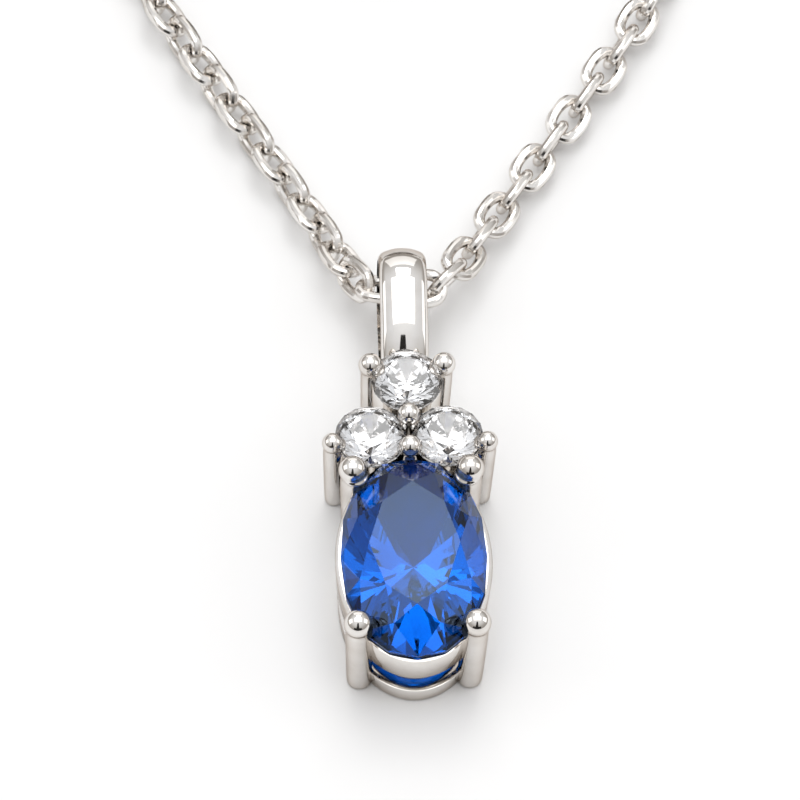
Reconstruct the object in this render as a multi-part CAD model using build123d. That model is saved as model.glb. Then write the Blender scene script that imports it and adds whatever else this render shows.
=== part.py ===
from build123d import *
import math
import os

# Pendant necklace: oval blue stone and three small clear stones in claw settings,
# a loop bail, a diamond-cut cable chain and a spring ring clasp.
# X right, Y towards the bail, Z up off the table. Millimetres.

# ---- stones
OVAL_WIDTH = 5.0
OVAL_LENGTH = 8.0
OVAL_TABLE = 0.62        # table size as a share of the girdle
OVAL_CROWN = 0.95
OVAL_PAVILION = 2.15
OVAL_BLUNT = 1.05        # bulge of the oval's shoulders; 1 is a true ellipse
ROUND_DIA = 2.46
ROUND_TABLE = 0.58
ROUND_CROWN = 0.40
ROUND_PAVILION = 1.02
GIRDLE = 0.10            # girdle band thickness
GIRDLE_Z = 3.14          # top of the girdle band above the back
STONE_GAP = 0.20         # between neighbouring small stones
CLUSTER_START = 0.97     # oval stone's end to the lower stone row
# ---- oval setting
RAIL_TOP_DROP = 0.20     # upper rail top below the girdle
RAIL_SPLIT_HI = 1.47     # slot between the rails, below the girdle
RAIL_SPLIT_LO = 2.42
RAIL_RIM_X = 0.20        # upper rail's rim outside the girdle
RAIL_RIM_Y = 0.12
RAIL_TAPER = 0.32        # how far the rails lean in at the back
RAIL_WALL = 0.55
OVAL_CLAW_DIA = 0.90
OVAL_BEAD_DIA = 0.98
OVAL_BEAD_Z = 0.71       # bead centre above the girdle
OVAL_CLAW_ANGLE = 44.1   # degrees along the oval
OVAL_CLAW_OUT = 0.40     # claw centre beyond the girdle
OVAL_CLAW_LEAN = 0.24    # lean towards the stone's centre at the back
# ---- cluster setting
CLAW_DIA = 0.68
BEAD_TOP_DIA = 0.82
BEAD_MID_DIA = 0.78
BEAD_SIDE_DIA = 0.72
BEAD_Z = 0.45
TOP_CLAW = (1.27, 0.34)      # bead from the top stone's centre
TOP_CLAW_FOOT = (1.18, 0.30)
SIDE_CLAW = (1.33, -0.58)    # bead from a lower stone's centre, outwards
SIDE_CLAW_FOOT = (1.20, -0.50)
MID_CLAW_Y = 0.60            # past the lower row, between all three stones
LOW_CLAW_Y = -0.72           # before the lower row, next to the oval stone
SEAT_WALL = 0.36
SEAT_DEPTH = 1.20
SEAT_GAP = 0.03          # seat ring's outside inside the girdle
BASE_RADIUS = 1.12       # base rail's corner radius about each stone
BASE_WALL = 0.50
MID_CLAW_FOOT = 1.55     # the middle claw ends above the back
# ---- bail
BAIL_WIDTH = 1.66
BAIL_THICK = 0.50
BAIL_RADIUS = 1.90
BAIL_REACH = 4.20        # top stone centre to the loop's centre
BAIL_NECK_Z = 3.00       # front arm's outer height behind the top stone
BAIL_ROUND = 0.38
ARM_LAP = 0.20           # arm ends run into the setting and are cut to it
# ---- chain
CHAIN_DIA = 1.45
LINK_LENGTH = 2.03
LINK_WIRE = 0.39
REST_GAP = 0.01          # chain above the table
# visible runs: X, Y past the loop's centre, height of the middle
BAIL_PASS = (0.50, -0.12)   # chain centre from the loop's centre: +Y, Z
LEFT_ROUTE = [(-0.90, 0, 0), (-1.57, 0.52, -0.25), (-2.60, 3.19, -1.05),
              (-4.85, 7.25, -1.05), (-7.20, 11.35, -1.05), (-8.80, 14.3, -1.05),
              (-9.40, 19.2, -0.88), (-8.35, 24.2, 0.27)]
RIGHT_ROUTE = [(0.90, 0, 0), (1.59, 0.50, -0.25), (3.37, 3.66, -1.05),
               (6.13, 7.85, -1.05), (8.75, 11.95, -1.05), (10.10, 14.7, -1.05),
               (9.95, 19.4, -0.88), (8.35, 24.5, 0.27)]
COIL_AT = 26.8           # coil centre past the loop's centre
COIL_MID_DIA = 15.0
COIL_WIDE = 3
COIL_HIGH = 2.74         # turns high, nested
TAIL_CLASP = [(-6.3, 32.1, -0.18), (-6.9, 35.8, -1.05), (-6.1, 39.4, -1.05)]
TAIL_RING = [(6.3, 32.1, -0.18), (6.9, 35.8, -1.05), (6.1, 39.4, -1.05)]
# ---- clasp
CLASP_MID_DIA = 4.70
CLASP_WIRE = 1.10
CLASP_BORE = 0.62
LATCH_DIA = 0.54         # runs in the bore with 0.04 clearance
CLASP_GAP = 42.0         # degrees of opening
LATCH_SEAT = 7.0         # degrees the latch enters the far end
LATCH_BACK = 58.0        # degrees the latch reaches back into the tube
LATCH_TURN = 42.0
SPRING_ARC = 84.0
SPRING_COIL = 0.38
SPRING_WIRE = 0.15
KNOB_WIDTH = 0.42
KNOB_HEIGHT = 0.62
SLOT_SIDE = 0.05         # knob clearance on each side of its slot
RING_MID_RADIUS = 1.15   # jump ring
RING_WIRE = 0.42
EYE_MID_RADIUS = 0.50
EYE_WIRE = 0.40
LINK_PLAY = 0.03         # between linked rings at rest
LINK_LAP = 0.25          # last link runs into the chain run and is cut to it
END_RING_OUT = 1.95
END_RING_BORE = 1.45
END_RING_THICK = 0.40
TAB_OUT = 0.80           # tab on the end ring that the last link holds
TAB_HOLE = 0.40
TAB_REACH = 2.25
TAB_PLAY = 0.10


def make_layout():
    """Key positions that follow from the sizes."""
    half = (ROUND_DIA + STONE_GAP) / 2
    row = OVAL_LENGTH / 2 + CLUSTER_START
    top = row + half * math.sqrt(3)
    loop = top + BAIL_REACH
    front = -(OVAL_LENGTH / 2 + RAIL_RIM_Y)
    oval_y = -(loop + BAIL_RADIUS + front) / 2
    return {"oval": (0, oval_y), "left": (-half, oval_y + row), "right": (half, oval_y + row),
            "top": (0, oval_y + top), "loop": oval_y + loop, "loop_z": BAIL_RADIUS}


PLACE = make_layout()
CHAIN_Y = PLACE["loop"] + BAIL_PASS[0]
CHAIN_Z = PLACE["loop_z"] + BAIL_PASS[1]


def polygon_face(points):
    return Face(Wire([Edge.make_line(points[i], points[(i + 1) % len(points)])
                      for i in range(len(points))]))


def brilliant(width, length, table, crown, pavilion, x, y, blunt=1.0):
    """Eight-fold brilliant cut; every facet is flat, also when the shoulders bulge."""
    c = math.cos(math.pi / 8)
    star, lower = 0.80, 0.24
    between = (1 + blunt) / 2
    corner = blunt - (blunt - star * between * c) * (1 - table) / (1 - star * between * c)

    def at(radius, step, z):
        a = step * math.pi / 8
        if step % 2:
            radius *= between
        elif step % 4:
            radius = corner if radius == table else radius * blunt
        return (x + width / 2 * radius * math.sin(a),
                y + length / 2 * radius * math.cos(a), GIRDLE_Z + z)

    star_z = crown * (1 - star * between * c) / (1 - table)
    low_z = -GIRDLE - pavilion * (1 - lower * between * c)
    culet = (x, y, GIRDLE_Z - GIRDLE - pavilion)
    faces = [polygon_face([at(table, 2 * k, crown) for k in range(8)])]
    for k in range(8):
        m = 2 * k
        faces += [polygon_face(p) for p in (
            [at(table, m, crown), at(table, m + 2, crown), at(star, m + 1, star_z)],
            [at(table, m, crown), at(star, m + 1, star_z), at(1, m, 0), at(star, m - 1, star_z)],
            [at(star, m + 1, star_z), at(1, m, 0), at(1, m + 1, 0)],
            [at(star, m + 1, star_z), at(1, m + 1, 0), at(1, m + 2, 0)],
            [at(1, m, 0), at(1, m + 1, 0), at(1, m + 1, -GIRDLE), at(1, m, -GIRDLE)],
            [at(1, m + 1, 0), at(1, m + 2, 0), at(1, m + 2, -GIRDLE), at(1, m + 1, -GIRDLE)],
            [at(lower, m + 1, low_z), at(1, m, -GIRDLE), at(1, m + 1, -GIRDLE)],
            [at(lower, m + 1, low_z), at(1, m + 1, -GIRDLE), at(1, m + 2, -GIRDLE)],
            [culet, at(lower, m + 1, low_z), at(1, m, -GIRDLE)],
            [culet, at(1, m, -GIRDLE), at(lower, m - 1, low_z)])]
    solid = Solid(Shell(faces))
    return solid


def stones():
    ox, oy = PLACE["oval"]
    made = {"oval_stone": brilliant(OVAL_WIDTH, OVAL_LENGTH, OVAL_TABLE, OVAL_CROWN,
                                    OVAL_PAVILION, ox, oy, OVAL_BLUNT)}
    for name in ("top", "left", "right"):
        px, py = PLACE[name]
        made["round_stone_" + name] = brilliant(ROUND_DIA, ROUND_DIA, ROUND_TABLE, ROUND_CROWN,
                                                ROUND_PAVILION, px, py)
    return made


def claw(top, foot, dia, bead):
    """Round wire from its foot up to a bead."""
    a, b = Vector(*foot), Vector(*top)
    wire = Solid.make_cylinder(dia / 2, (b - a).length + dia, Plane(origin=a - (b - a).normalized() * dia / 2,
                                                            z_dir=b - a))
    keep = Pos(a.X, a.Y, foot[2]) * Box(9, 9, b.Z - foot[2], align=(Align.CENTER, Align.CENTER, Align.MIN))
    return (wire & keep) + Pos(b.X, b.Y, b.Z) * Sphere(bead / 2)


def oval_claws():
    ox, oy = PLACE["oval"]
    t = math.radians(OVAL_CLAW_ANGLE)
    gx, gy = OVAL_WIDTH / 2 * math.cos(t), OVAL_LENGTH / 2 * math.sin(t)
    r = math.hypot(gx, gy)
    out, back = 1 + OVAL_CLAW_OUT / r, 1 + (OVAL_CLAW_OUT - OVAL_CLAW_LEAN) / r
    made = {}
    for name, sx, sy in (("front_left", -1, -1), ("front_right", 1, -1),
                         ("back_left", -1, 1), ("back_right", 1, 1)):
        top = (ox + sx * gx * out, oy + sy * gy * out, GIRDLE_Z + OVAL_BEAD_Z)
        foot = (ox + sx * gx * back, oy + sy * gy * back, 0)
        made["oval_claw_" + name] = claw(top, foot, OVAL_CLAW_DIA, OVAL_BEAD_DIA)
    return made


def cluster_claws():
    half = PLACE["right"][0]
    row, top = PLACE["right"][1], PLACE["top"][1]
    z = GIRDLE_Z + BEAD_Z
    spots = {"middle": (0, row + MID_CLAW_Y, BEAD_MID_DIA, 0, row + MID_CLAW_Y, MID_CLAW_FOOT),
             "low": (0, row + LOW_CLAW_Y, BEAD_MID_DIA, 0, row + LOW_CLAW_Y, 0)}
    for name, side in (("left", -1), ("right", 1)):
        spots["top_" + name] = (side * TOP_CLAW[0], top + TOP_CLAW[1], BEAD_TOP_DIA,
                                side * TOP_CLAW_FOOT[0], top + TOP_CLAW_FOOT[1], 0)
        spots["side_" + name] = (side * (half + SIDE_CLAW[0]), row + SIDE_CLAW[1], BEAD_SIDE_DIA,
                                 side * (half + SIDE_CLAW_FOOT[0]), row + SIDE_CLAW_FOOT[1], 0)
    return {"cluster_claw_" + n: claw((s[0], s[1], z), (s[3], s[4], s[5]), CLAW_DIA, s[2])
            for n, s in spots.items()}


def oval_band(shrink, z_low, z_high):
    """Tapered oval ring between two heights, shrunk by a wall when shrink > 0."""
    ox, oy = PLACE["oval"]
    rings = []
    for z in (z_low, z_high):
        lean = RAIL_TAPER * (GIRDLE_Z - z) / GIRDLE_Z
        rings.append(Pos(ox, oy, z) * Ellipse(OVAL_WIDTH / 2 + RAIL_RIM_X - 0.55 * lean - shrink,
                                              OVAL_LENGTH / 2 + RAIL_RIM_Y - lean - shrink))
    return loft(rings, ruled=True)


def oval_rails():
    made = {}
    for name, hi, lo in (("oval_upper_rail", RAIL_TOP_DROP, RAIL_SPLIT_HI),
                         ("oval_lower_rail", RAIL_SPLIT_LO, GIRDLE_Z)):
        z0, z1 = GIRDLE_Z - lo, GIRDLE_Z - hi
        made[name] = oval_band(0, z0, z1) - oval_band(RAIL_WALL, z0, z1)
    return made


def cluster_rails():
    made = {}
    outer = ROUND_DIA / 2 - SEAT_GAP
    for name in ("top", "left", "right"):
        px, py = PLACE[name]
        z0 = GIRDLE_Z - RAIL_TOP_DROP - SEAT_DEPTH + 0.1
        ring = Cylinder(outer, SEAT_DEPTH, align=(Align.CENTER, Align.CENTER, Align.MIN))
        hole = Cylinder(outer - SEAT_WALL, SEAT_DEPTH, align=(Align.CENTER, Align.CENTER, Align.MIN))
        made["cluster_seat_" + name] = Pos(px, py, z0) * (ring - hole)
    corners = [PLACE[n] for n in ("top", "left", "right")]
    tri = make_face(Polyline(*corners, close=True))
    height = GIRDLE_Z - RAIL_SPLIT_LO
    outside = extrude(offset(tri, amount=BASE_RADIUS, kind=Kind.ARC), amount=height)
    inside = extrude(offset(tri, amount=BASE_RADIUS - BASE_WALL, kind=Kind.ARC), amount=height)
    made["cluster_base_rail"] = outside - inside
    return made


def bail():
    """Domed loop: flat on the table, round at its end, front arm down to the top seat."""
    loop, cz, r = PLACE["loop"], PLACE["loop_z"], BAIL_RADIUS
    neck = PLACE["top"][1] + ROUND_DIA / 2 - SEAT_GAP - ARM_LAP
    foot = PLACE["top"][1] + BASE_RADIUS - ARM_LAP
    reach = math.hypot(neck - loop, BAIL_NECK_Z - cz)
    tilt = math.atan2(BAIL_NECK_Z - cz, neck - loop) - math.acos(r / reach)

    def on(radius, angle):
        return (loop + radius * math.cos(angle), cz + radius * math.sin(angle))

    inner = r - BAIL_THICK
    drop = (BAIL_THICK * math.cos(tilt), BAIL_THICK * math.sin(tilt))
    with BuildSketch(Plane.YZ) as sketch:
        with BuildLine():
            Line((foot, 0), (loop, 0))
            ThreePointArc((loop, 0), on(r, 0), on(r, tilt))
            Line(on(r, tilt), (neck, BAIL_NECK_Z))
            Line((neck, BAIL_NECK_Z), (neck - drop[0], BAIL_NECK_Z - drop[1]))
            Line((neck - drop[0], BAIL_NECK_Z - drop[1]), on(inner, tilt))
            ThreePointArc(on(inner, tilt), on(inner, 0), (loop, BAIL_THICK))
            Line((loop, BAIL_THICK), (foot, BAIL_THICK))
            Line((foot, BAIL_THICK), (foot, 0))
        make_face()
    solid = extrude(sketch.sketch, amount=BAIL_WIDTH / 2, both=True)
    arc = [e for e in solid.edges() if abs(abs((e @ 0.5).X) - BAIL_WIDTH / 2) < 1e-4
           and abs(math.hypot((e @ 0.5).Y - loop, (e @ 0.5).Z - cz) - r) < 1e-3]
    return fillet(arc, BAIL_ROUND)


def route(points):
    """Pass point in the bail, then points given past the loop's centre."""
    ends = [(0, CHAIN_Y, CHAIN_Z)]
    for x, y, z in points:
        ends.append((x, CHAIN_Y + y, max(CHAIN_Z + z, CHAIN_DIA / 2 + REST_GAP)))
    return ends


def smooth_path(pts):
    """Straight runs joined by tangent arcs; returns the wire, its length and radii."""
    edges, at, radii = [], Vector(*pts[0]), []
    for i in range(1, len(pts) - 1):
        a, b, c = (Vector(*pts[j]) for j in (i - 1, i, i + 1))
        u, v = (b - a).normalized(), (c - b).normalized()
        cut = 0.45 * min((b - a).length, (c - b).length)
        turn = math.acos(max(-1, min(1, u.dot(v))))
        if turn < 1e-3:
            continue
        radii.append(cut / math.tan(turn / 2))
        p, q = b - u * cut, b + v * cut
        mid = b + (v - u).normalized() * radii[-1] * (1 / math.cos(turn / 2) - 1)
        edges += [Edge.make_line(at, p), Edge.make_three_point_arc(p, mid, q)]
        at = q
    edges.append(Edge.make_line(at, Vector(*pts[-1])))
    wire = Wire(edges)
    return wire, wire.length, radii


def tube(name, pts, report):
    wire, length, radii = smooth_path(pts)
    profile = Plane(origin=wire @ 0, z_dir=wire % 0) * Circle(CHAIN_DIA / 2)
    solid = sweep(profile, path=wire)
    share = solid.volume / (math.pi * CHAIN_DIA ** 2 / 4 * length)
    report.append((name, length, min(radii) if radii else 0, share))
    return solid


def coil():
    """The put-away length as one closed ring of wound chain."""
    wide = COIL_WIDE * CHAIN_DIA
    high = COIL_HIGH * CHAIN_DIA
    rr = CHAIN_DIA / 2
    prof = Plane.XZ * (Pos(COIL_MID_DIA / 2, REST_GAP + high / 2) * RectangleRounded(wide, high, rr))
    return Pos(0, CHAIN_Y + COIL_AT, 0) * revolve(prof, Axis.Z)


def stadium_link(centre, along, flat):
    """One oval link: long side along the run, lying flat or standing on edge."""
    mid_w, mid_l = CHAIN_DIA - LINK_WIRE, LINK_LENGTH - LINK_WIRE
    r, s = mid_w / 2, (mid_l - mid_w) / 2
    path = Wire([Edge.make_line((0, -r, 0), (s, -r, 0)),
                 Edge.make_three_point_arc((s, -r, 0), (s + r, 0, 0), (s, r, 0)),
                 Edge.make_line((s, r, 0), (-s, r, 0)),
                 Edge.make_three_point_arc((-s, r, 0), (-s - r, 0, 0), (-s, -r, 0)),
                 Edge.make_line((-s, -r, 0), (0, -r, 0))])
    body = sweep(Plane(origin=(0, -r, 0), z_dir=(1, 0, 0)) * Circle(LINK_WIRE / 2), path=path)
    x = Vector(*along).normalized()
    z = Vector(0, 0, 1) if flat else Vector(0, 0, 1).cross(x)
    return Plane(origin=centre, x_dir=x, z_dir=z).location * body


def torus_arc(mid, wire, start, end, centre, normal=(0, 0, 1), x_dir=(1, 0, 0)):
    """Round bar bent along an arc, angles in degrees from x_dir."""
    prof = Plane.XZ * (Pos(mid, 0) * Circle(wire / 2))
    bar = revolve(prof, Axis.Z, end - start)
    return Plane(origin=centre, x_dir=x_dir, z_dir=normal).location * (Rot(0, 0, start) * bar)


def end_frame(pts):
    """End point and plan direction of a run."""
    a, b = Vector(*pts[-2]), Vector(*pts[-1])
    d = Vector(b.X - a.X, b.Y - a.Y, 0).normalized()
    return b, d


def spring(centre, x_dir, start, end):
    """Fine coil spring bent along the clasp's bore."""
    turns = 9
    frame = Plane(origin=centre, x_dir=x_dir, z_dir=(0, 0, 1))
    pts = []
    for i in range(turns * 8 + 1):
        a = math.radians(start + (end - start) * i / (turns * 8))
        w = 2 * math.pi * i / 8
        r = CLASP_MID_DIA / 2 + SPRING_COIL / 2 * math.cos(w)
        pts.append(frame.from_local_coords(Vector(r * math.cos(a), r * math.sin(a),
                                                  SPRING_COIL / 2 * math.sin(w))))
    path = Edge.make_spline(pts)
    return sweep(Plane(origin=path @ 0, z_dir=path % 0) * Circle(SPRING_WIRE / 2), path=path)


def clasp_side(pts, tail):
    """Last link, jump ring, clasp tube, eye, latch and spring beyond the tail."""
    end, d = end_frame(pts)
    link_c = end + d * (LINK_LENGTH / 2 - LINK_LAP)
    hook = LINK_LENGTH / 2 - LINK_WIRE - RING_WIRE / 2 - LINK_PLAY
    ring_c = link_c + d * (hook + RING_MID_RADIUS)
    eye_c = ring_c + d * (RING_MID_RADIUS + EYE_MID_RADIUS - EYE_WIRE / 2 - RING_WIRE / 2 - LINK_PLAY)
    z = end.Z
    mid = CLASP_MID_DIA / 2
    clasp_c = eye_c + d * (EYE_MID_RADIUS + mid + CLASP_WIRE / 2 - 0.16)
    back = d * -1
    made = {"chain_end_link_clasp": stadium_link(link_c, d, False) - tail}
    made["jump_ring"] = torus_arc(RING_MID_RADIUS, RING_WIRE, 0, 360, ring_c)
    made["clasp_eye"] = torus_arc(EYE_MID_RADIUS, EYE_WIRE, 0, 360, eye_c,
                                  normal=Vector(0, 0, 1).cross(d))
    # angles are counted from the eye; the opening is on one side, the slot on top
    open_a, open_b = 75, 75 + CLASP_GAP
    tube_len = 360 - CLASP_GAP
    shell = torus_arc(mid, CLASP_WIRE, open_b, open_b + tube_len, clasp_c, x_dir=back)
    bore_b = open_b + LATCH_BACK + SPRING_ARC + 3
    shell -= torus_arc(mid, CLASP_BORE, open_b - 5, bore_b, clasp_c, x_dir=back)
    shell -= torus_arc(mid, CLASP_BORE, open_a - LATCH_SEAT - 3, open_a + 3, clasp_c, x_dir=back)
    made["clasp_latch"], slot = latch_and_slot(mid, clasp_c, back, open_a, open_b)
    made["clasp_tube"] = shell - slot - made["clasp_eye"]
    made["clasp_spring"] = spring(clasp_c, back, open_b + LATCH_BACK + 1.5, bore_b - 2)
    return made, {"link": link_c, "ring": ring_c, "eye": eye_c, "clasp": clasp_c, "dir": d, "z": z}


def latch_and_slot(mid, clasp_c, back, open_a, open_b):
    """Latch bar with its thumb knob, and the slot the knob runs in."""
    bar = torus_arc(mid, LATCH_DIA, open_a - LATCH_SEAT, open_b + LATCH_BACK, clasp_c, x_dir=back)
    frame = Plane(origin=clasp_c, x_dir=back, z_dir=(0, 0, 1)).location
    knob_at = open_b + 10
    stem = Pos(mid + KNOB_HEIGHT / 2 + 0.1, 0, 0) * Box(KNOB_HEIGHT + 0.2, KNOB_WIDTH, KNOB_WIDTH)
    cap = Pos(mid + KNOB_HEIGHT + 0.32, 0, 0) * Sphere(0.30)
    half = math.degrees((KNOB_WIDTH / 2 + SLOT_SIDE) / mid)
    knob = frame * (Rot(0, 0, knob_at) * (stem + cap))
    width = KNOB_WIDTH + 2 * SLOT_SIDE
    prof = Plane.XZ * (Pos(mid + 0.6, 0) * Rectangle(1.2, width))
    slot = frame * (Rot(0, 0, knob_at - half - 1) * revolve(prof, Axis.Z, LATCH_TURN + 2 * half + 2))
    return bar + knob, slot


def ring_side(pts, tail):
    """Last link and the flat end ring, with its tab, that the clasp hooks into."""
    end, d = end_frame(pts)
    link_c = end + d * (LINK_LENGTH / 2 - LINK_LAP)
    tab_c = link_c + d * (LINK_LENGTH / 2 - LINK_WIRE - TAB_PLAY + TAB_HOLE)
    ring_c = tab_c + d * TAB_REACH
    ring = (Pos(*ring_c) * Cylinder(END_RING_OUT, END_RING_THICK)
            + Pos(*tab_c) * Cylinder(TAB_OUT, END_RING_THICK)
            - Pos(*ring_c) * Cylinder(END_RING_BORE, END_RING_THICK)
            - Pos(*tab_c) * Cylinder(TAB_HOLE, END_RING_THICK))
    made = {"chain_end_link_ring": stadium_link(link_c, d, False) - tail,
            "end_ring": ring}
    return made, {"link": link_c, "tab": tab_c, "ring": ring_c, "dir": d}


def pendant():
    """Stones first; claws are notched for them, rails are notched for both."""
    gems = stones()
    claws = {**oval_claws(), **cluster_claws()}
    rails = {**oval_rails(), **cluster_rails()}
    loop = bail()
    cut = {}
    order = []
    for name, solid in claws.items():
        for gem in gems.values():
            solid = solid - gem
        for other in order:
            solid = solid - cut[other]
        cut[name] = keep_largest(solid)
        order.append(name)
    done = []
    for name, solid in rails.items():
        for piece in list(gems.values()) + list(cut.values()) + done:
            solid = solid - piece
        solid = keep_largest(solid)
        done.append(solid)
        cut[name] = solid
    for piece in list(gems.values()) + list(cut.values()):
        loop = loop - piece
    cut["bail"] = keep_largest(loop)
    return {**gems, **cut}


def keep_largest(shape):
    return max(shape.solids(), key=lambda s: s.volume)


def chain_nodes(report):
    """Runs end inside the coil; each overlaps it on purpose."""
    made = {}
    for name, pts in (("chain_left", LEFT_ROUTE), ("chain_right", RIGHT_ROUTE)):
        made[name] = tube(name, route(pts), report)
    for name, pts in (("chain_tail_clasp", TAIL_CLASP), ("chain_tail_ring", TAIL_RING)):
        made[name] = tube(name, route(pts)[1:], report)
    made["chain_coil"] = coil()
    return made


def main():
    os.makedirs("parts", exist_ok=True)
    report = []
    nodes = pendant()
    nodes.update(chain_nodes(report))
    clasp, at_clasp = clasp_side(route(TAIL_CLASP), nodes["chain_tail_clasp"])
    ring, at_ring = ring_side(route(TAIL_RING), nodes["chain_tail_ring"])
    nodes.update(clasp)
    nodes.update(ring)
    for name, solid in nodes.items():
        solid.label = name
        export_step(solid, "parts/" + name + ".step")
        box = solid.bounding_box()
        print(f"{name:26s} vol {solid.volume:9.4f}  x {box.min.X:7.2f} {box.max.X:7.2f}  "
              f"y {box.min.Y:7.2f} {box.max.Y:7.2f}  z {box.min.Z:6.3f} {box.max.Z:6.3f}  "
              f"solids {len(solid.solids())}")
    for name, length, radius, share in report:
        print(f"{name}: length {length:.2f}, smallest radius {radius:.2f} "
              f"({radius / CHAIN_DIA:.2f} dia), volume share {share:.4f}")
    print("pass point", 0, CHAIN_Y, CHAIN_Z)
    print("places", PLACE)
    print("clasp side", at_clasp)
    print("ring side", at_ring)


main()
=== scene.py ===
import math

import bmesh
import bpy
from bpy.props import FloatProperty, FloatVectorProperty, IntProperty, PointerProperty
from mathutils import Matrix, Vector


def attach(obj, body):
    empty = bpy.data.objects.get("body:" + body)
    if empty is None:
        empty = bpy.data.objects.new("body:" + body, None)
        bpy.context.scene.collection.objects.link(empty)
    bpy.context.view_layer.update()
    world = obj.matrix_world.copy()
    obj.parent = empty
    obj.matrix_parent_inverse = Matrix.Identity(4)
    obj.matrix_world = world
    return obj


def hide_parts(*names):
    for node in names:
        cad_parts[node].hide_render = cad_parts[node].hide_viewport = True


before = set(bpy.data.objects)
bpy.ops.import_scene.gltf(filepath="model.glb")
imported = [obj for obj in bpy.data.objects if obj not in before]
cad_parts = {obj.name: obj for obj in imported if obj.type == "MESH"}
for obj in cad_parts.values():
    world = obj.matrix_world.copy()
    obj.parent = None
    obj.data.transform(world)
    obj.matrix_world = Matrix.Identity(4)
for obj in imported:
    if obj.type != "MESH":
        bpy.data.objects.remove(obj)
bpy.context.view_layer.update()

bl_info = {
    "name": "Pendant Necklace Builder",
    "version": (1, 0, 0),
    "blender": (4, 5, 0),
    "location": "View3D > Sidebar > Necklace",
    "description": "Models a claw-set pendant, its bail and a fine cable chain on the packed frame",
    "category": "Add Mesh",
}

MM = 0.001
OVAL_Y = -4.6268
ROW_Y = 0.3432
TOP_Y = 2.6468
LOOP_Y = 6.8468
LOOP_Z = 1.9
HALF = 1.33
GIRDLE_Z = 3.14
COIL_Y = 34.1468
PASS = (0.0, 7.3468, 1.78)

# points of both chain strands past the bail, millimetres
LEFT_RUN = [(-0.90, 7.3468, 1.78), (-1.57, 7.8668, 1.53), (-2.60, 10.5368, 0.735),
            (-4.85, 14.5968, 0.735), (-7.20, 18.6968, 0.735), (-8.80, 21.6468, 0.735),
            (-9.40, 26.5468, 0.90)]
RIGHT_RUN = [(0.90, 7.3468, 1.78), (1.59, 7.8468, 1.53), (3.37, 11.0068, 0.735),
             (6.13, 15.1968, 0.735), (8.75, 19.2968, 0.735), (10.10, 22.0468, 0.735),
             (9.95, 26.7468, 0.90)]
LEFT_TAIL = [(-6.3, 39.4468, 1.60), (-6.9, 43.1468, 0.735), (-6.1, 46.7468, 0.735)]
RIGHT_TAIL = [(6.3, 39.4468, 1.60), (6.9, 43.1468, 0.735), (6.1, 46.7468, 0.735)]
END_LINK = (5.934, 47.4936, 0.735)     # centre of the right strand's last link, made in CAD

# roll of the first link of each strand, degrees
LEFT_ROLL, RIGHT_ROLL = 24.2, 18.1

# coil, in turns: its nominal run, where it stops closing in, where it opens again, one change of layer
COIL_TURNS, TURNS_IN, TURNS_OUT, CHANGE = 4.15, 2.9, 3.1, 0.25
OPENING = 0.75              # chain widths per turn that the last turn opens by
LOW_LAYER, HIGH_LAYER, MIDDLE_LAYER, LEAD_Z = 0.745, 3.24, 1.99, 0.9
POINTS_PER_TURN = 16
TURN_SWELL = 1.012          # the spline runs about 2 % inside its points; this gives part of it back

# cable link: steps its stretch is shared over, and the part of the hole's radius they cover
BANDS, BAND_REACH = 10, 0.9
FLAT_DEPTH = 0.025          # how deep the bright flats are cut
LINK_SMOOTH = 28            # degrees; facets round the wire meet at about 30, so their edges stay sharp
FINE_AT_END = 7             # fine links next to the end links
SWAY, SWAY_STEP = 4, 2.4    # uneven roll of neighbouring links: degrees, and radians per link

# oval claws: the ellipse they stand round, their angle on it in degrees, and how far outside it
# the bead's centre and the foot lie
OVAL_HALF_WIDTH, OVAL_HALF_LENGTH = 2.5, 4.0
OVAL_CLAW_ANGLE = 44.1
OVAL_CLAW_OUT, OVAL_FOOT_OUT = 0.40, 0.16
OVAL_CLAW_DIA, OVAL_BEAD_DIA, OVAL_BEAD_RISE = 0.90, 0.98, 0.71

# bead centre and foot of each cluster claw, from the stone row or the top stone
TOP_CLAW, TOP_FOOT = (1.27, 0.34), (1.18, 0.30)
SIDE_CLAW, SIDE_FOOT = (1.33, -0.58), (1.20, -0.50)
MID_CLAW_Y, LOW_CLAW_Y, MID_FOOT_Z = 0.60, -0.72, 1.55
CLAW_DIA, BEAD_TOP_DIA, BEAD_MID_DIA, BEAD_SIDE_DIA, BEAD_RISE = 0.68, 0.82, 0.78, 0.72, 0.45

# claw: where its bead is cut off below the centre, in bead widths, and its wire's width (in wire
# widths) at shares of the way down from there to the foot
BEAD_CUT = 0.34
WIRE_WIDTHS = ((0.06, 0.97), (0.16, 1.0), (0.55, 1.0), (0.93, 1.0), (0.985, 0.97), (1.0, 0.88))

# oval rails: outer half sizes at the girdle, how far the ends lean in down to the table, and the
# share of that at the sides; the wall, the seat's ledge and its drop; where each rail begins and ends
RAIL_HALF_WIDTH, RAIL_HALF_LENGTH, RAIL_LEAN, SIDE_SHARE = 2.70, 4.12, 0.32, 0.55
RAIL_WALL, SEAT_LEDGE, SEAT_DROP = 0.55, 0.31, 0.20
UPPER_RAIL_Z, LOWER_RAIL_Z = (1.67, 2.94), (0.0, 0.72)

# seat ring under a small stone: radius and height round its wall's section
SEAT_PROFILE = ((1.14, 1.84), (1.20, 1.90), (1.20, 2.90), (1.17, 2.96),
                (1.04, 2.94), (0.84, 2.72), (0.84, 1.88), (0.88, 1.84))

# where the camera aims: to its right and up from the middle of the oval's girdle
AIM_RIGHT, AIM_UP = -0.476, 5.34

# table, metres: size, centre, and its gap below the necklace
FLOOR_SIZE, FLOOR_Y, FLOOR_DROP = 3, 0.02, 0.00003


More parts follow.
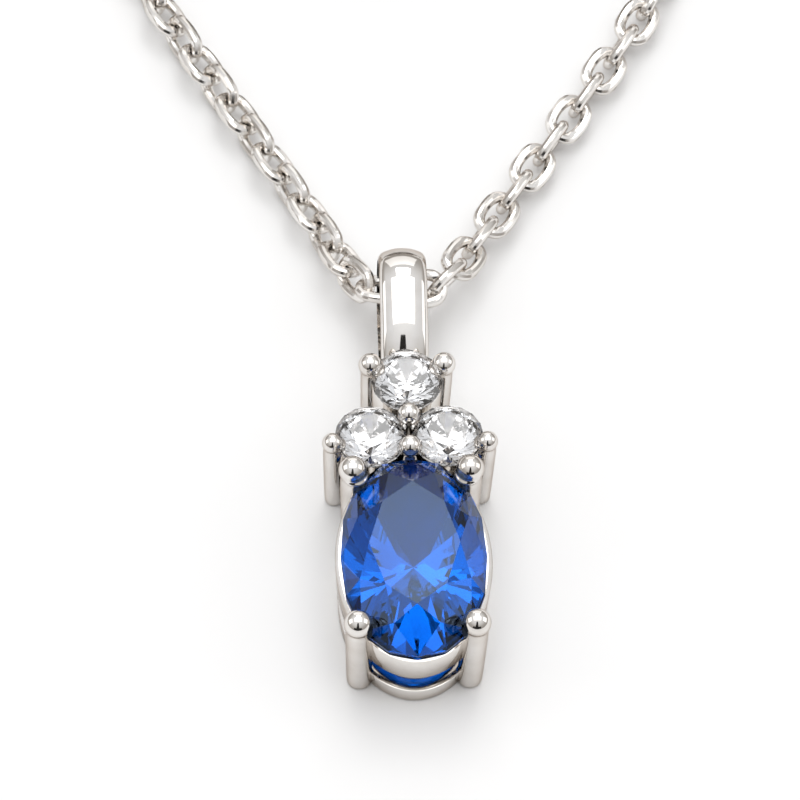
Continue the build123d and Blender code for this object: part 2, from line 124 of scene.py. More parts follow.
class NecklaceMetal(bpy.types.PropertyGroup):
    silver: FloatVectorProperty(name="Silver", description="Colour of the polished metal", subtype="COLOR",
                                size=4, min=0, max=1, default=(0.85, 0.83, 0.805, 1))
    silver_dull: FloatVectorProperty(name="Silver in hollows", description="Colour where polish is thin",
                                     subtype="COLOR", size=4, min=0, max=1, default=(0.76, 0.73, 0.695, 1))
    rim_tint: FloatVectorProperty(name="Rim tint", description="Colour the metal turns towards its outline",
                                  subtype="COLOR", size=4, min=0, max=1, default=(0.60, 0.55, 0.51, 1))
    claw_lip: FloatProperty(name="Claw lip", description="How far each claw leans over its stone, in mm",
                            min=0, max=0.4, default=0.16)
    rail_bevel: FloatProperty(name="Rail edge", description="Rounding of the rails' edges, in mm",
                              min=0.01, max=0.2, default=0.06)


class NecklaceStones(bpy.types.PropertyGroup):
    blue: FloatVectorProperty(name="Blue", description="Body colour of the oval stone", subtype="COLOR",
                              size=4, min=0, max=1, default=(0.001, 0.095, 0.52, 1))
    blue_deep: FloatVectorProperty(name="Deep blue", description="Darker zones of the oval stone",
                                   subtype="COLOR", size=4, min=0, max=1, default=(0.001, 0.040, 0.27, 1))
    clear: FloatVectorProperty(name="Clear", description="Body colour of the round stones", subtype="COLOR",
                               size=4, min=0, max=1, default=(0.97, 0.98, 1.0, 1))


class NecklaceChain(bpy.types.PropertyGroup):
    pitch: FloatProperty(name="Link pitch", description="Distance between link centres, in mm",
                         min=0.5, max=5, default=1.25)
    wire: FloatProperty(name="Wire", description="Link wire diameter, in mm", min=0.1, max=1, default=0.39)
    width: FloatProperty(name="Width", description="Outer width of a link, in mm",
                         min=0.5, max=5, default=1.45)
    length: FloatProperty(name="Length", description="Outer length of a link, in mm",
                          min=0.5, max=6, default=2.03)
    fine_links: IntProperty(name="Fine links", description="Links per strand made with full detail",
                            min=4, max=60, default=25)
    first_link: FloatProperty(name="First link", description="Shift of every link along the strand, in mm",
                              min=-1, max=1, default=0.0)
    coil_radius: FloatProperty(name="Coil radius", description="Middle radius of the wound coil, in mm",
                               min=5, max=20, default=7.5)


class NecklaceStage(bpy.types.PropertyGroup):
    lens: FloatProperty(name="Lens", description="Focal length of the camera, in mm",
                        min=10, max=900, default=397)
    distance: FloatProperty(name="Distance", description="Camera distance", unit="LENGTH", default=0.30)
    azimuth: FloatProperty(name="Azimuth", description="Camera turned to the left", subtype="ANGLE",
                           default=math.radians(-4.1))
    elevation: FloatProperty(name="Elevation", description="Camera height angle", subtype="ANGLE",
                             default=math.radians(56))
    roll: FloatProperty(name="Roll", description="Camera roll", subtype="ANGLE", default=math.radians(2.7))
    top_power: FloatProperty(name="Top light", description="Power of the softbox overhead, in watts", min=0,
                             default=0.32)
    side_power: FloatProperty(name="Side lights", description="Power of each side softbox, in watts", min=0,
                              default=0.14)
    card_power: FloatProperty(name="High card", description="Power of the small softbox behind", min=0,
                              default=0.22)
    floor: FloatVectorProperty(name="Floor", description="Colour of the table", subtype="COLOR", size=4,
                               min=0, max=1, default=(0.93, 0.93, 0.93, 1))


# ---------------------------------------------------------------- materials
def new_material(name):
    mat = bpy.data.materials.new(name)
    mat.use_nodes = True
    nodes = mat.node_tree.nodes
    shader = nodes["Principled BSDF"]
    coords = nodes.new("ShaderNodeTexCoord")
    return mat, nodes, mat.node_tree.links, shader, coords


def noise(nodes, links, coords, scale, detail=3.0):
    tex = nodes.new("ShaderNodeTexNoise")
    tex.inputs["Scale"].default_value = scale
    tex.inputs["Detail"].default_value = detail
    links.new(coords.outputs["Object"], tex.inputs["Vector"])
    return tex


def vary(nodes, links, factor, socket, low, high):
    span = nodes.new("ShaderNodeMapRange")
    span.inputs["To Min"].default_value = low
    span.inputs["To Max"].default_value = high
    links.new(factor, span.inputs["Value"])
    links.new(span.outputs["Result"], socket)


def blend_colours(nodes, links, factor, socket, one, two):
    ramp = nodes.new("ShaderNodeValToRGB")
    ramp.color_ramp.elements[0].position = 0.35
    ramp.color_ramp.elements[1].position = 0.65
    ramp.color_ramp.elements[0].color = one
    ramp.color_ramp.elements[1].color = two
    links.new(factor, ramp.inputs["Fac"])
    links.new(ramp.outputs["Color"], socket)


def polished_silver(name, rough_low, rough_high, bump=0.05):
    """Bright plated silver: cloudy colour, uneven polish and faint casting ripple."""
    look = bpy.context.scene.necklace_metal
    mat, nodes, links, shader, coords = new_material(name)
    shader.inputs["Metallic"].default_value = 1.0
    shader.inputs["Specular Tint"].default_value = tuple(look.rim_tint)
    cloud = noise(nodes, links, coords, 900)
    grain = noise(nodes, links, coords, 5200, 5.0)
    blend_colours(nodes, links, cloud.outputs["Fac"], shader.inputs["Base Color"],
                  tuple(look.silver_dull), tuple(look.silver))
    vary(nodes, links, grain.outputs["Fac"], shader.inputs["Roughness"], rough_low, rough_high)
    ripple = nodes.new("ShaderNodeBump")
    ripple.inputs["Strength"].default_value = bump
    ripple.inputs["Distance"].default_value = 0.00002
    links.new(cloud.outputs["Fac"], ripple.inputs["Height"])
    links.new(ripple.outputs["Normal"], shader.inputs["Normal"])
    return mat


def faceted_stone(name, one, two, ior, rough, glint=(1, 1, 1, 1)):
    """Clear cut stone with a trace of colour zoning; glint tints its reflections."""
    mat, nodes, links, shader, coords = new_material(name)
    shader.inputs["Specular Tint"].default_value = glint
    shader.inputs["Transmission Weight"].default_value = 1.0
    shader.inputs["IOR"].default_value = ior
    zone = noise(nodes, links, coords, 420, 1.0)
    blend_colours(nodes, links, zone.outputs["Fac"], shader.inputs["Base Color"], one, two)
    haze = noise(nodes, links, coords, 2600)
    vary(nodes, links, haze.outputs["Fac"], shader.inputs["Roughness"], rough * 0.4, rough)
    return mat


# ---------------------------------------------------------------- modelling helpers
def begin():
    if bpy.context.mode != "OBJECT":
        bpy.ops.object.mode_set(mode="OBJECT")
    bpy.ops.object.select_all(action="DESELECT")


def pick(test):
    """Selects the vertices of the edited mesh that pass a test of their place."""
    mesh = bmesh.from_edit_mesh(bpy.context.object.data)
    bpy.context.tool_settings.mesh_select_mode = (True, False, False)
    bpy.ops.mesh.select_all(action="DESELECT")
    for v in mesh.verts:
        v.select = bool(test(v.co))
    mesh.select_flush_mode()
    bmesh.update_edit_mesh(bpy.context.object.data)


def pick_rim(test):
    """Selects open edges whose middle passes a test."""
    mesh = bmesh.from_edit_mesh(bpy.context.object.data)
    bpy.context.tool_settings.mesh_select_mode = (False, True, False)
    bpy.ops.mesh.select_all(action="DESELECT")
    for e in mesh.edges:
        if len(e.link_faces) < 2 and test((e.verts[0].co + e.verts[1].co) / 2):
            e.select_set(True)
    bmesh.update_edit_mesh(bpy.context.object.data)


def grow(scale, centre):
    bpy.ops.transform.resize(value=scale, center_override=centre)


def settle(name, mat, body, smooth=30, replaced=()):
    """Ends modelling: millimetres to metres, origin home, smooth shading, material, body."""
    if bpy.context.mode != "OBJECT":
        bpy.ops.mesh.select_all(action="SELECT")
        bpy.ops.mesh.normals_make_consistent(inside=False)
        bpy.ops.object.mode_set(mode="OBJECT")
    piece = bpy.context.object
    piece.name = name
    piece.data.name = name
    bpy.ops.object.transform_apply(location=True, rotation=True, scale=True)
    piece.scale = (MM, MM, MM)
    bpy.ops.object.transform_apply(location=False, rotation=False, scale=True)
    bpy.ops.object.shade_smooth_by_angle(angle=math.radians(smooth))
    piece.data.materials.clear()
    piece.data.materials.append(mat)
    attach(piece, body)
    if replaced:
        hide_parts(*replaced)
    return piece


def paint(node, mat):
    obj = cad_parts[node]
    obj.data.materials.clear()
    obj.data.materials.append(mat)


def ring_wall(centre, loops, count):
    """A closed wall: one edge loop extruded and scaled from profile point to point, then bridged."""
    begin()
    rx, ry, z = loops[0]
    bpy.ops.mesh.primitive_circle_add(vertices=count, radius=1, fill_type="NOTHING",
                                      location=(centre[0], centre[1], z))
    bpy.context.object.scale = (rx, ry, 1)
    bpy.ops.object.transform_apply(location=True, rotation=False, scale=True)
    bpy.ops.object.mode_set(mode="EDIT")
    bpy.ops.mesh.select_all(action="SELECT")
    for a, b in zip(loops, loops[1:]):
        bpy.ops.mesh.extrude_region_move(TRANSFORM_OT_translate={"value": (0, 0, b[2] - a[2])})
        grow((b[0] / a[0], b[1] / a[1], 1), (centre[0], centre[1], b[2]))
    pick_rim(lambda c: True)
    bpy.ops.mesh.bridge_edge_loops()


# ---------------------------------------------------------------- chain
def make_link(settings, fine):
    """One cable link, long side on X, open face on Z, with bright flats cut on it when fine."""
    begin()
    middle = (settings.width - settings.wire) / 2
    bpy.ops.mesh.primitive_torus_add(major_radius=middle, minor_radius=settings.wire / 2,
                                     major_segments=36 if fine else 8, minor_segments=12 if fine else 4,
                                     location=(0, 0, 0))
    stretch = (settings.length - settings.width) / 2
    band = BAND_REACH * (middle - settings.wire / 2) / BANDS
    bpy.ops.object.mode_set(mode="EDIT")
    for side in (1, -1):
        for k in range(BANDS, 0, -1):
            pick(lambda c: c.x * side > band * (k - 0.5))
            bpy.ops.transform.translate(value=(side * stretch / BANDS, 0, 0))
    if fine:
        edge = settings.width / 2 - FLAT_DEPTH
        for outward in (1, -1):
            bpy.ops.mesh.select_all(action="SELECT")
            bpy.ops.mesh.bisect(plane_co=(0, outward * edge, 0), plane_no=(0, outward, 0),
                                use_fill=True, clear_outer=True)
    bpy.ops.object.mode_set(mode="OBJECT")
    link = bpy.context.object
    bpy.ops.object.shade_smooth_by_angle(angle=math.radians(LINK_SMOOTH))
    link.name = "link_pattern_fine" if fine else "link_pattern_coil"
    return link


def coil_points(side, settings):
    """About three turns winding inwards in one layer, then about one more in the middle layer."""
    across = settings.width
    points = []
    start = math.radians(197 if side < 0 else -17)
    layer = LOW_LAYER if side < 0 else HIGH_LAYER
    radius = settings.coil_radius + across
    steps = round(COIL_TURNS * POINTS_PER_TURN) - 1
    for i in range(1, steps):
        t = i / POINTS_PER_TURN
        angle = start + side * 2 * math.pi * t
        inward = min(t, TURNS_IN) / TURNS_IN
        r = (radius - 2 * across * inward) * TURN_SWELL
        if t > TURNS_OUT:
            r += (t - TURNS_OUT) * across * OPENING
        z = LEAD_Z + (layer - LEAD_Z) * min(1.0, i / 4) if side > 0 else layer
        if t > TURNS_IN:
            z = layer + (MIDDLE_LAYER - layer) * min(1.0, (t - TURNS_IN) / CHANGE)
        points.append((r * math.cos(angle), COIL_Y + r * math.sin(angle), z))
    return points


def strand_line(name, side, settings):
    """The strand's own smooth line: spline through the run, the coil and the tail."""
    run, tail = (LEFT_RUN, LEFT_TAIL) if side < 0 else (RIGHT_RUN, RIGHT_TAIL)
    points = [PASS] + run + coil_points(side, settings) + tail
    data = bpy.data.curves.new(name, "CURVE")
    data.dimensions = "3D"
    data.resolution_u = 10
    spline = data.splines.new("NURBS")
    spline.points.add(len(points) - 1)
    for p, co in zip(spline.points, points):
        p.co = (co[0], co[1], co[2], 1)
    spline.order_u = 3
    spline.use_endpoint_u = True
    curve = bpy.data.objects.new(name, data)
    bpy.context.collection.objects.link(curve)
    bpy.context.view_layer.update()
    mesh = bpy.data.meshes.new_from_object(curve.evaluated_get(bpy.context.evaluated_depsgraph_get()))
    line = [v.co.copy() for v in mesh.vertices]
    bpy.data.meshes.remove(mesh)
    bpy.data.objects.remove(curve)
    return line


def walk(line):
    """Distance along the line at each of its points."""
    out = [0.0]
    for a, b in zip(line, line[1:]):
        out.append(out[-1] + (b - a).length)
    return out


def point_at(line, along, s):
    s = max(0.0, min(s, along[-1]))
    lo, hi = 0, len(along) - 1
    while hi - lo > 1:
        mid = (lo + hi) // 2
        if along[mid] <= s:
            lo = mid
        else:
            hi = mid
    part = (s - along[lo]) / max(along[hi] - along[lo], 1e-9)
    return line[lo].lerp(line[hi], part)


def lay_links(name, side, settings, mat, nodes):
    """Copies the two link patterns along the strand and joins them into one piece."""
    line = strand_line(name + "_line", side, settings)
    along = walk(line)
    patterns = [make_link(settings, True), make_link(settings, False)]
    end_link = Vector((side * END_LINK[0], END_LINK[1], END_LINK[2]))
    start = settings.pitch / 2 + settings.first_link
    room = along[-1] + (end_link - line[-1]).length - settings.pitch - start
    last = int(room / settings.pitch)
    slack = room - last * settings.pitch     # shared out past the fine links, so the end links meet
    first_roll = math.radians(LEFT_ROLL if side < 0 else RIGHT_ROLL)
    twist = (math.pi / 2 if last % 2 else 0) - first_roll
    copies = []
    for i in range(last + 1):
        spread = max(0, i - settings.fine_links) / (last - settings.fine_links)
        s = start + settings.pitch * i + slack * spread
        here = point_at(line, along, s)
        ahead = (point_at(line, along, s + 0.5 * settings.pitch)
                 - point_at(line, along, s - 0.5 * settings.pitch)).normalized()
        across = Vector((0, 0, 1)).cross(ahead).normalized()
        up = ahead.cross(across)
        near = i < settings.fine_links or i > last - FINE_AT_END
        roll = first_roll + twist * spread + (math.pi / 2 if i % 2 else 0)
        sway = math.radians(SWAY) * math.sin(i * SWAY_STEP + side) * (1 - spread)
        normal = up * math.cos(roll + sway) - across * math.sin(roll + sway)
        place = Matrix((ahead, normal.cross(ahead), normal)).transposed().to_4x4()
        place.translation = here
        copy = patterns[0 if near else 1].copy()
        copy.data = copy.data.copy()
        bpy.context.collection.objects.link(copy)
        copy.matrix_world = place
        copies.append(copy)
    begin()
    for copy in copies:
        copy.select_set(True)
    bpy.context.view_layer.objects.active = copies[0]
    bpy.ops.object.join()
    for pattern in patterns:
        bpy.data.objects.remove(pattern)
    bpy.ops.object.mode_set(mode="EDIT")
    piece = settle(name, mat, "chain", LINK_SMOOTH, nodes)


class NECKLACE_OT_chain(bpy.types.Operator):
    """Lays both strands of cable chain from the bail to the coil and their ends"""
    bl_idname = "necklace.chain"
    bl_label = "Cable Chain"

    def execute(self, context):
        settings = context.scene.necklace_chain
        mat = polished_silver("diamond_cut_silver", 0.10, 0.22)
        lay_links("chain_strand_left", -1, settings, mat, ("chain_left", "chain_coil", "chain_tail_clasp"))
        lay_links("chain_strand_right", 1, settings, mat, ("chain_right", "chain_tail_ring"))
        for node in ("chain_end_link_clasp", "chain_end_link_ring"):
            paint(node, mat)
        return {"FINISHED"}


# ---------------------------------------------------------------- setting
def make_claw(name, top, foot, wire, bead, heart, mat):
    """Bead on a round post, drawn down from the bead's underside, with a lip over its stone."""
    begin()
    lip = bpy.context.scene.necklace_metal.claw_lip
    bpy.ops.mesh.primitive_uv_sphere_add(segments=32, ring_count=20, radius=bead / 2, location=top)
    bpy.ops.object.transform_apply(location=True, rotation=False, scale=False)
    bpy.ops.object.mode_set(mode="EDIT")
    cut = top[2] - BEAD_CUT * bead
    pick(lambda c: c.z < cut)
    bpy.ops.mesh.delete(type="VERT")
    rim_z = min(v.co.z for v in bmesh.from_edit_mesh(bpy.context.object.data).verts)
    rim_r = math.sqrt(max((bead / 2) ** 2 - (top[2] - rim_z) ** 2, 0.01))
    pick_rim(lambda c: c.z < cut + 0.2 * bead)
    at, r = Vector((top[0], top[1], rim_z)), rim_r
    drop = Vector(foot) - Vector(top)
    for share, width in WIRE_WIDTHS:
        z = rim_z + (foot[2] - rim_z) * share
        centre = Vector(top) + drop * ((z - top[2]) / drop.z)
        bpy.ops.mesh.extrude_region_move(TRANSFORM_OT_translate={"value": tuple(centre - at)})
        ratio = wire / 2 * width / r
        grow((ratio, ratio, 1), tuple(centre))
        at, r = centre, wire / 2 * width
    bpy.ops.mesh.edge_face_add()
    inward = (Vector(heart) - Vector(top)).xy.normalized()
    low, high = GIRDLE_Z + 0.02, top[2] - 0.10 * bead
    pick(lambda c: low < c.z < high and (c - Vector(top)).xy.dot(inward) > 0.1 * bead)
    bpy.ops.transform.translate(value=(inward.x * lip, inward.y * lip, 0))
    bpy.ops.object.mode_set(mode="OBJECT")
    rounding = bpy.context.object.modifiers.new("rounding", "SUBSURF")
    rounding.levels = rounding.render_levels = 1
    bpy.ops.object.modifier_apply(modifier="rounding")
    bpy.ops.object.mode_set(mode="EDIT")
    settle(name, mat, "pendant", 50, (name.replace("_wire", ""),))


def claw_list():
    """Top bead centre, foot, wire, bead and stone centre of every claw."""
    t = math.radians(OVAL_CLAW_ANGLE)
    gx, gy = OVAL_HALF_WIDTH * math.cos(t), OVAL_HALF_LENGTH * math.sin(t)
    r = math.hypot(gx, gy)
    out, back = 1 + OVAL_CLAW_OUT / r, 1 + OVAL_FOOT_OUT / r
    claws = []
    for end, sy in (("front", -1), ("back", 1)):
        for hand, sx in (("left", -1), ("right", 1)):
            claws.append(("oval_claw_%s_%s" % (end, hand),
                          (sx * gx * out, OVAL_Y + sy * gy * out, GIRDLE_Z + OVAL_BEAD_RISE),
                          (sx * gx * back, OVAL_Y + sy * gy * back, 0),
                          OVAL_CLAW_DIA, OVAL_BEAD_DIA, (0, OVAL_Y)))
    z = GIRDLE_Z + BEAD_RISE
    middle, low = ROW_Y + MID_CLAW_Y, ROW_Y + LOW_CLAW_Y
    spots = [("middle", 0, middle, BEAD_MID_DIA, 0, middle, MID_FOOT_Z, (0, TOP_Y)),
             ("low", 0, low, BEAD_MID_DIA, 0, low, 0, (0, ROW_Y))]
    for tag, side in (("left", -1), ("right", 1)):
        spots.append(("top_" + tag, side * TOP_CLAW[0], TOP_Y + TOP_CLAW[1], BEAD_TOP_DIA,
                      side * TOP_FOOT[0], TOP_Y + TOP_FOOT[1], 0, (0, TOP_Y)))
        spots.append(("side_" + tag, side * (HALF + SIDE_CLAW[0]), ROW_Y + SIDE_CLAW[1], BEAD_SIDE_DIA,
                      side * (HALF + SIDE_FOOT[0]), ROW_Y + SIDE_FOOT[1], 0, (side * HALF, ROW_Y)))
    for tag, x, y, bead, fx, fy, fz, heart in spots:
        claws.append(("cluster_claw_" + tag, (x, y, z), (fx, fy, fz), CLAW_DIA, bead, heart))
    return claws


class NECKLACE_OT_claws(bpy.types.Operator):
    """Draws the ten claws of the oval setting and the cluster"""
    bl_idname = "necklace.claws"
    bl_label = "Claws"

    def execute(self, context):
        mat = polished_silver("claw_silver", 0.03, 0.10)
        for name, top, foot, wire, bead, heart in claw_list():
            make_claw(name + "_wire", top, foot, wire, bead, (*heart, 0), mat)
        return {"FINISHED"}


def oval_profile(z_low, z_high, seat):
    """Wall section from the foot outside, over the top and down the inside."""
    edge = bpy.context.scene.necklace_metal.rail_bevel

    def at(inset, z):
        lean = RAIL_LEAN * (GIRDLE_Z - z) / GIRDLE_Z
        return (RAIL_HALF_WIDTH - SIDE_SHARE * lean - inset, RAIL_HALF_LENGTH - lean - inset, z)

    corner = edge * 0.3
    outer = [at(edge, z_low), at(corner, z_low + corner), at(0, z_low + edge), at(0, z_high - edge)]
    top = [at(corner, z_high - corner), at(edge, z_high)]
    if seat:
        inner = [at(SEAT_LEDGE, z_high), at(RAIL_WALL, z_high - SEAT_DROP)]
    else:
        inner = [at(RAIL_WALL - edge, z_high), at(RAIL_WALL, z_high - edge)]
    return outer + top + inner + [at(RAIL_WALL, z_low + edge), at(RAIL_WALL - edge, z_low)]


class NECKLACE_OT_rails(bpy.types.Operator):
    """Turns the two oval rails and the round seats under the small stones"""
    bl_idname = "necklace.rails"
    bl_label = "Rails and Seats"

    def execute(self, context):
        mat = polished_silver("rail_silver", 0.05, 0.14)
        ring_wall((0, OVAL_Y), oval_profile(*UPPER_RAIL_Z, True), 128)
        settle("oval_upper_wall", mat, "pendant", 35, ("oval_upper_rail",))
        ring_wall((0, OVAL_Y), oval_profile(*LOWER_RAIL_Z, False), 128)
        settle("oval_lower_wall", mat, "pendant", 35, ("oval_lower_rail",))
        seat = [(r, r, z) for r, z in SEAT_PROFILE]
        for tag, x, y in (("top", 0, TOP_Y), ("left", -HALF, ROW_Y), ("right", HALF, ROW_Y)):
            ring_wall((x, y), seat, 64)
            settle("seat_ring_" + tag, mat, "pendant", 35, ("cluster_seat_" + tag,))
        paint("cluster_base_rail", mat)
        return {"FINISHED"}


class NECKLACE_OT_bail(bpy.types.Operator):
    """Bends the domed bail strip round its loop"""
    bl_idname = "necklace.bail"
    bl_label = "Bail"

    def execute(self, context):
        width, thick, radius, neck_z, dome, droop = 1.66, 0.50, 1.90, 3.00, 0.28, 0.70
        neck, foot = TOP_Y + 1.00, TOP_Y + 0.92
        reach = math.hypot(neck - LOOP_Y, neck_z - LOOP_Z)
        tilt = math.atan2(neck_z - LOOP_Z, neck - LOOP_Y) - math.acos(radius / reach)
        begin()
        bpy.ops.mesh.primitive_plane_add(size=1, location=(0, foot, thick / 2),
                                         rotation=(math.pi / 2, 0, 0))
        bpy.context.object.scale = (width, thick, 1)
        bpy.ops.object.transform_apply(location=True, rotation=True, scale=True)
        bpy.ops.object.mode_set(mode="EDIT")
        pick(lambda c: c.z < 0.01)
        bpy.ops.mesh.subdivide(number_cuts=1)
        pick(lambda c: c.z < 0.01 and abs(c.x) > 0.1)
        bpy.ops.transform.translate(value=(0, 0, dome))
        bpy.ops.mesh.bevel(offset=0.24, segments=6, profile=0.5, affect="VERTICES", clamp_overlap=True)
        pick(lambda c: c.z < 0.01)
        bpy.ops.mesh.bevel(offset=0.46, segments=8, profile=0.5, affect="VERTICES", clamp_overlap=True)
        pick(lambda c: c.z > thick - 0.01)
        bpy.ops.mesh.bevel(offset=0.06, segments=3, affect="VERTICES", clamp_overlap=True)
        bpy.context.tool_settings.mesh_select_mode = (False, False, True)
        bpy.ops.mesh.select_all(action="SELECT")
        bpy.ops.mesh.extrude_region_move(TRANSFORM_OT_translate={"value": (0, LOOP_Y - foot, 0)})
        pick(lambda c: c.y > LOOP_Y - 0.01)
        bpy.context.tool_settings.mesh_select_mode = (False, False, True)
        bpy.ops.mesh.spin(steps=40, angle=tilt + math.pi / 2, center=(0, LOOP_Y, LOOP_Z), axis=(-1, 0, 0))
        way = Vector((0, neck - LOOP_Y - radius * math.cos(tilt),
                      neck_z - LOOP_Z - radius * math.sin(tilt)))
        steps = 12
        for i in range(steps):
            fall = droop * (((i + 1) / steps) ** 3 - (i / steps) ** 3)
            bpy.ops.mesh.extrude_region_move(TRANSFORM_OT_translate={
                "value": (0, way.y / steps, way.z / steps - fall)})
        settle("bail_strip", polished_silver("bail_silver", 0.03, 0.08), "pendant", 30, ("bail",))
        return {"FINISHED"}


class NECKLACE_OT_stones(bpy.types.Operator):
    """Gives the cut stones their colour and clarity"""
    bl_idname = "necklace.stones"
    bl_label = "Stones"

    def execute(self, context):
        look = context.scene.necklace_stones
        paint("oval_stone", faceted_stone("blue_stone", tuple(look.blue_deep), tuple(look.blue), 1.76, 0.03,
                                          (0.45, 0.62, 0.95, 1)))
        clear = faceted_stone("clear_stone", tuple(look.clear), (0.94, 0.96, 1.0, 1), 2.1, 0.06)
        for tag in ("top", "left", "right"):
            paint("round_stone_" + tag, clear)
        return {"FINISHED"}


class NECKLACE_OT_clasp(bpy.types.Operator):
    """Finishes the spring ring clasp, its rings and the spring"""
    bl_idname = "necklace.clasp"
    bl_label = "Clasp and Rings"

    def execute(self, context):
        mat = polished_silver("clasp_silver", 0.05, 0.14)
        for node in ("jump_ring", "clasp_tube", "clasp_eye", "clasp_latch", "end_ring"):
            paint(node, mat)
        paint("clasp_spring", polished_silver("spring_wire", 0.18, 0.3))
        return {"FINISHED"}


# ---------------------------------------------------------------- stage
def light(name, place, size, power):
    """A rectangular softbox that faces the necklace."""
    data = bpy.data.lights.new(name, "AREA")
    data.shape = "RECTANGLE"
    data.size, data.size_y = size
    data.energy = power
    lamp = bpy.data.objects.new(name, data)
    lamp.location = place
    lamp.rotation_euler = (Vector((0, 0, 0)) - Vector(place)).to_track_quat("-Z", "Y").to_euler()
    bpy.context.collection.objects.link(lamp)


def board(name, place, size, colour):
    """An upright matt board that the camera doesn't see; the polished surfaces show it."""
    begin()
    bpy.ops.mesh.primitive_plane_add(size=1, location=place, rotation=(math.pi / 2, 0, 0))
    bpy.context.object.scale = (size[0], size[1], 1)
    bpy.ops.object.transform_apply(location=True, rotation=True, scale=True)
    card = bpy.context.object
    card.name = name
    mat, nodes, links, shader, coords = new_material(name + "_felt")
    speck = noise(nodes, links, coords, 40)
    blend_colours(nodes, links, speck.outputs["Fac"], shader.inputs["Base Color"],
                  tuple(c * 0.9 for c in colour), colour)
    shader.inputs["Roughness"].default_value = 0.9
    card.data.materials.append(mat)
    card.visible_camera = False


def soft_sky(world):
    """White overhead, fading to a dimmer and slightly warm grey low down, as in a light tent."""
    nodes, links = world.node_tree.nodes, world.node_tree.links
    sky = nodes.get("Background") or nodes.new("ShaderNodeBackground")
    coords = nodes.new("ShaderNodeTexCoord")
    parts = nodes.new("ShaderNodeSeparateXYZ")
    ramp = nodes.new("ShaderNodeValToRGB")
    links.new(coords.outputs["Generated"], parts.inputs[0])
    links.new(parts.outputs["Z"], ramp.inputs["Fac"])
    links.new(ramp.outputs["Color"], sky.inputs["Color"])
    stops = ((0.0, (0.36, 0.335, 0.31, 1)), (0.35, (0.46, 0.44, 0.42, 1)), (0.60, (0.70, 0.69, 0.68, 1)),
             (0.80, (0.85, 0.85, 0.86, 1)), (1.0, (1, 1, 1, 1)))
    ramp.color_ramp.elements[0].position, ramp.color_ramp.elements[0].color = stops[0]
    ramp.color_ramp.elements[1].position, ramp.color_ramp.elements[1].color = stops[-1]
    for position, colour in stops[1:-1]:
        ramp.color_ramp.elements.new(position).color = colour
    sky.inputs["Strength"].default_value = 1.0


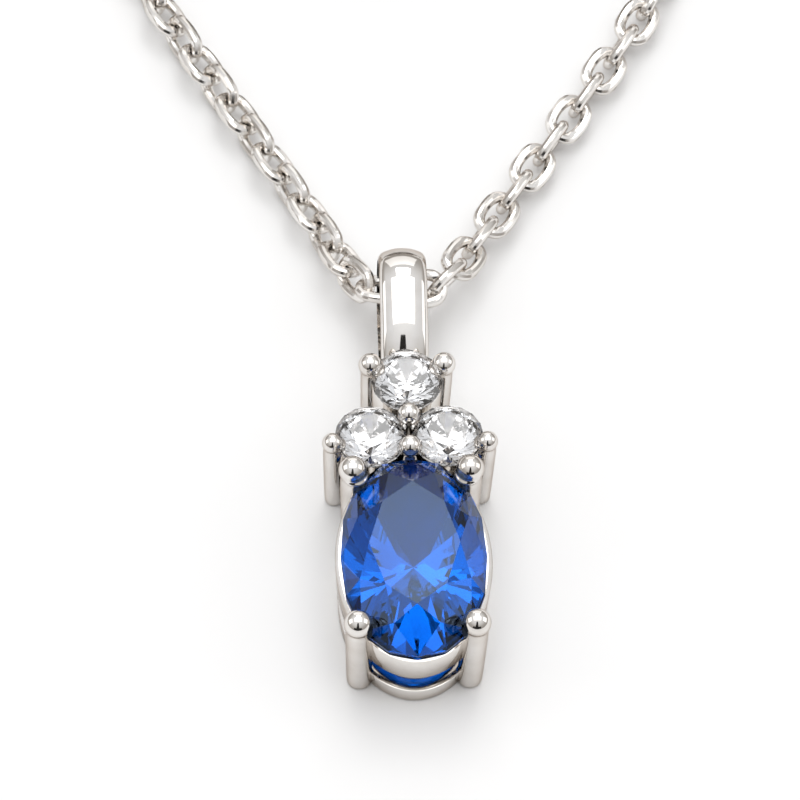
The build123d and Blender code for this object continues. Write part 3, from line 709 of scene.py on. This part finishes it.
class NECKLACE_OT_stage(bpy.types.Operator):
    """Sets up the camera, the pale table and the soft lights"""
    bl_idname = "necklace.stage"
    bl_label = "Stage"

    def execute(self, context):
        stage = context.scene.necklace_stage
        a, e, r = stage.azimuth, stage.elevation, stage.roll
        back = Vector((math.sin(a) * math.cos(e), -math.cos(a) * math.cos(e), math.sin(e)))
        side = Vector((math.cos(a), math.sin(a), 0))
        rise = back.cross(side)
        right = side * math.cos(r) + rise * math.sin(r)
        up = rise * math.cos(r) - side * math.sin(r)
        heart = Vector((0, OVAL_Y, GIRDLE_Z)) * MM
        aim = heart + right * (AIM_RIGHT * MM) + up * (AIM_UP * MM)
        data = bpy.data.cameras.new("camera")
        data.lens = stage.lens
        data.sensor_width = 36
        data.clip_start, data.clip_end = 0.001, 20
        camera = bpy.data.objects.new("camera", data)
        place = Matrix((right, up, back)).transposed().to_4x4()
        place.translation = aim + back * stage.distance
        camera.matrix_world = place
        context.collection.objects.link(camera)
        context.scene.camera = camera

        begin()
        bpy.ops.mesh.primitive_grid_add(x_subdivisions=4, y_subdivisions=4, size=FLOOR_SIZE,
                                        location=(0, FLOOR_Y, -FLOOR_DROP))
        floor = context.object
        floor.name = "table_top"
        bpy.ops.object.transform_apply(location=True, rotation=False, scale=False)
        mat, nodes, links, shader, coords = new_material("table_white")
        speck = noise(nodes, links, coords, 60)
        c = stage.floor
        blend_colours(nodes, links, speck.outputs["Fac"], shader.inputs["Base Color"],
                      (c[0] * 0.985, c[1] * 0.985, c[2] * 0.985, 1), tuple(c))
        shader.inputs["Roughness"].default_value = 0.7
        floor.data.materials.append(mat)

        world = context.scene.world or bpy.data.worlds.new("soft_room")
        context.scene.world = world
        world.use_nodes = True
        soft_sky(world)
        light("top_box", (0.0, 0.02, 0.36), (0.40, 0.24), stage.top_power)
        light("left_box", (-0.34, 0.02, 0.18), (0.22, 0.22), stage.side_power)
        light("right_box", (0.34, 0.02, 0.18), (0.22, 0.22), stage.side_power)
        light("back_box", (0.0, 0.36, 0.16), (0.34, 0.20), stage.side_power)
        light("high_card", (0.01, 0.22, 0.335), (0.20, 0.14), stage.card_power)
        board("dark_board", (-0.02, -0.30, 0.30), (0.12, 0.60), (0.012, 0.011, 0.010, 1))
        board("low_board", (-0.02, -0.29, 0.06), (0.34, 0.11), (0.012, 0.011, 0.010, 1))
        context.scene.view_settings.view_transform = "Standard"
        return {"FINISHED"}


class NECKLACE_PT_build(bpy.types.Panel):
    bl_label = "Necklace"
    bl_idname = "NECKLACE_PT_build"
    bl_space_type = "VIEW_3D"
    bl_region_type = "UI"
    bl_category = "Necklace"

    def draw(self, context):
        for step in STEPS:
            self.layout.operator("necklace." + step)
        for group in ("necklace_metal", "necklace_stones", "necklace_chain", "necklace_stage"):
            settings = getattr(context.scene, group)
            for key in settings.bl_rna.properties.keys():
                if key not in ("rna_type", "name"):
                    self.layout.prop(settings, key)


STEPS = ("stage", "chain", "claws", "rails", "bail", "stones", "clasp")
GROUPS = {"necklace_metal": NecklaceMetal, "necklace_stones": NecklaceStones,
          "necklace_chain": NecklaceChain, "necklace_stage": NecklaceStage}
CLASSES = (*GROUPS.values(), NECKLACE_OT_stage, NECKLACE_OT_chain, NECKLACE_OT_claws, NECKLACE_OT_rails,
           NECKLACE_OT_bail, NECKLACE_OT_stones, NECKLACE_OT_clasp, NECKLACE_PT_build)


def register():
    for cls in CLASSES:
        bpy.utils.register_class(cls)
    for name, group in GROUPS.items():
        setattr(bpy.types.Scene, name, PointerProperty(type=group))


def unregister():
    for name in GROUPS:
        delattr(bpy.types.Scene, name)
    for cls in reversed(CLASSES):
        bpy.utils.unregister_class(cls)


def main():
    register()
    for step in STEPS:
        getattr(bpy.ops.necklace, step)()


if __name__ == "__main__":
    main()
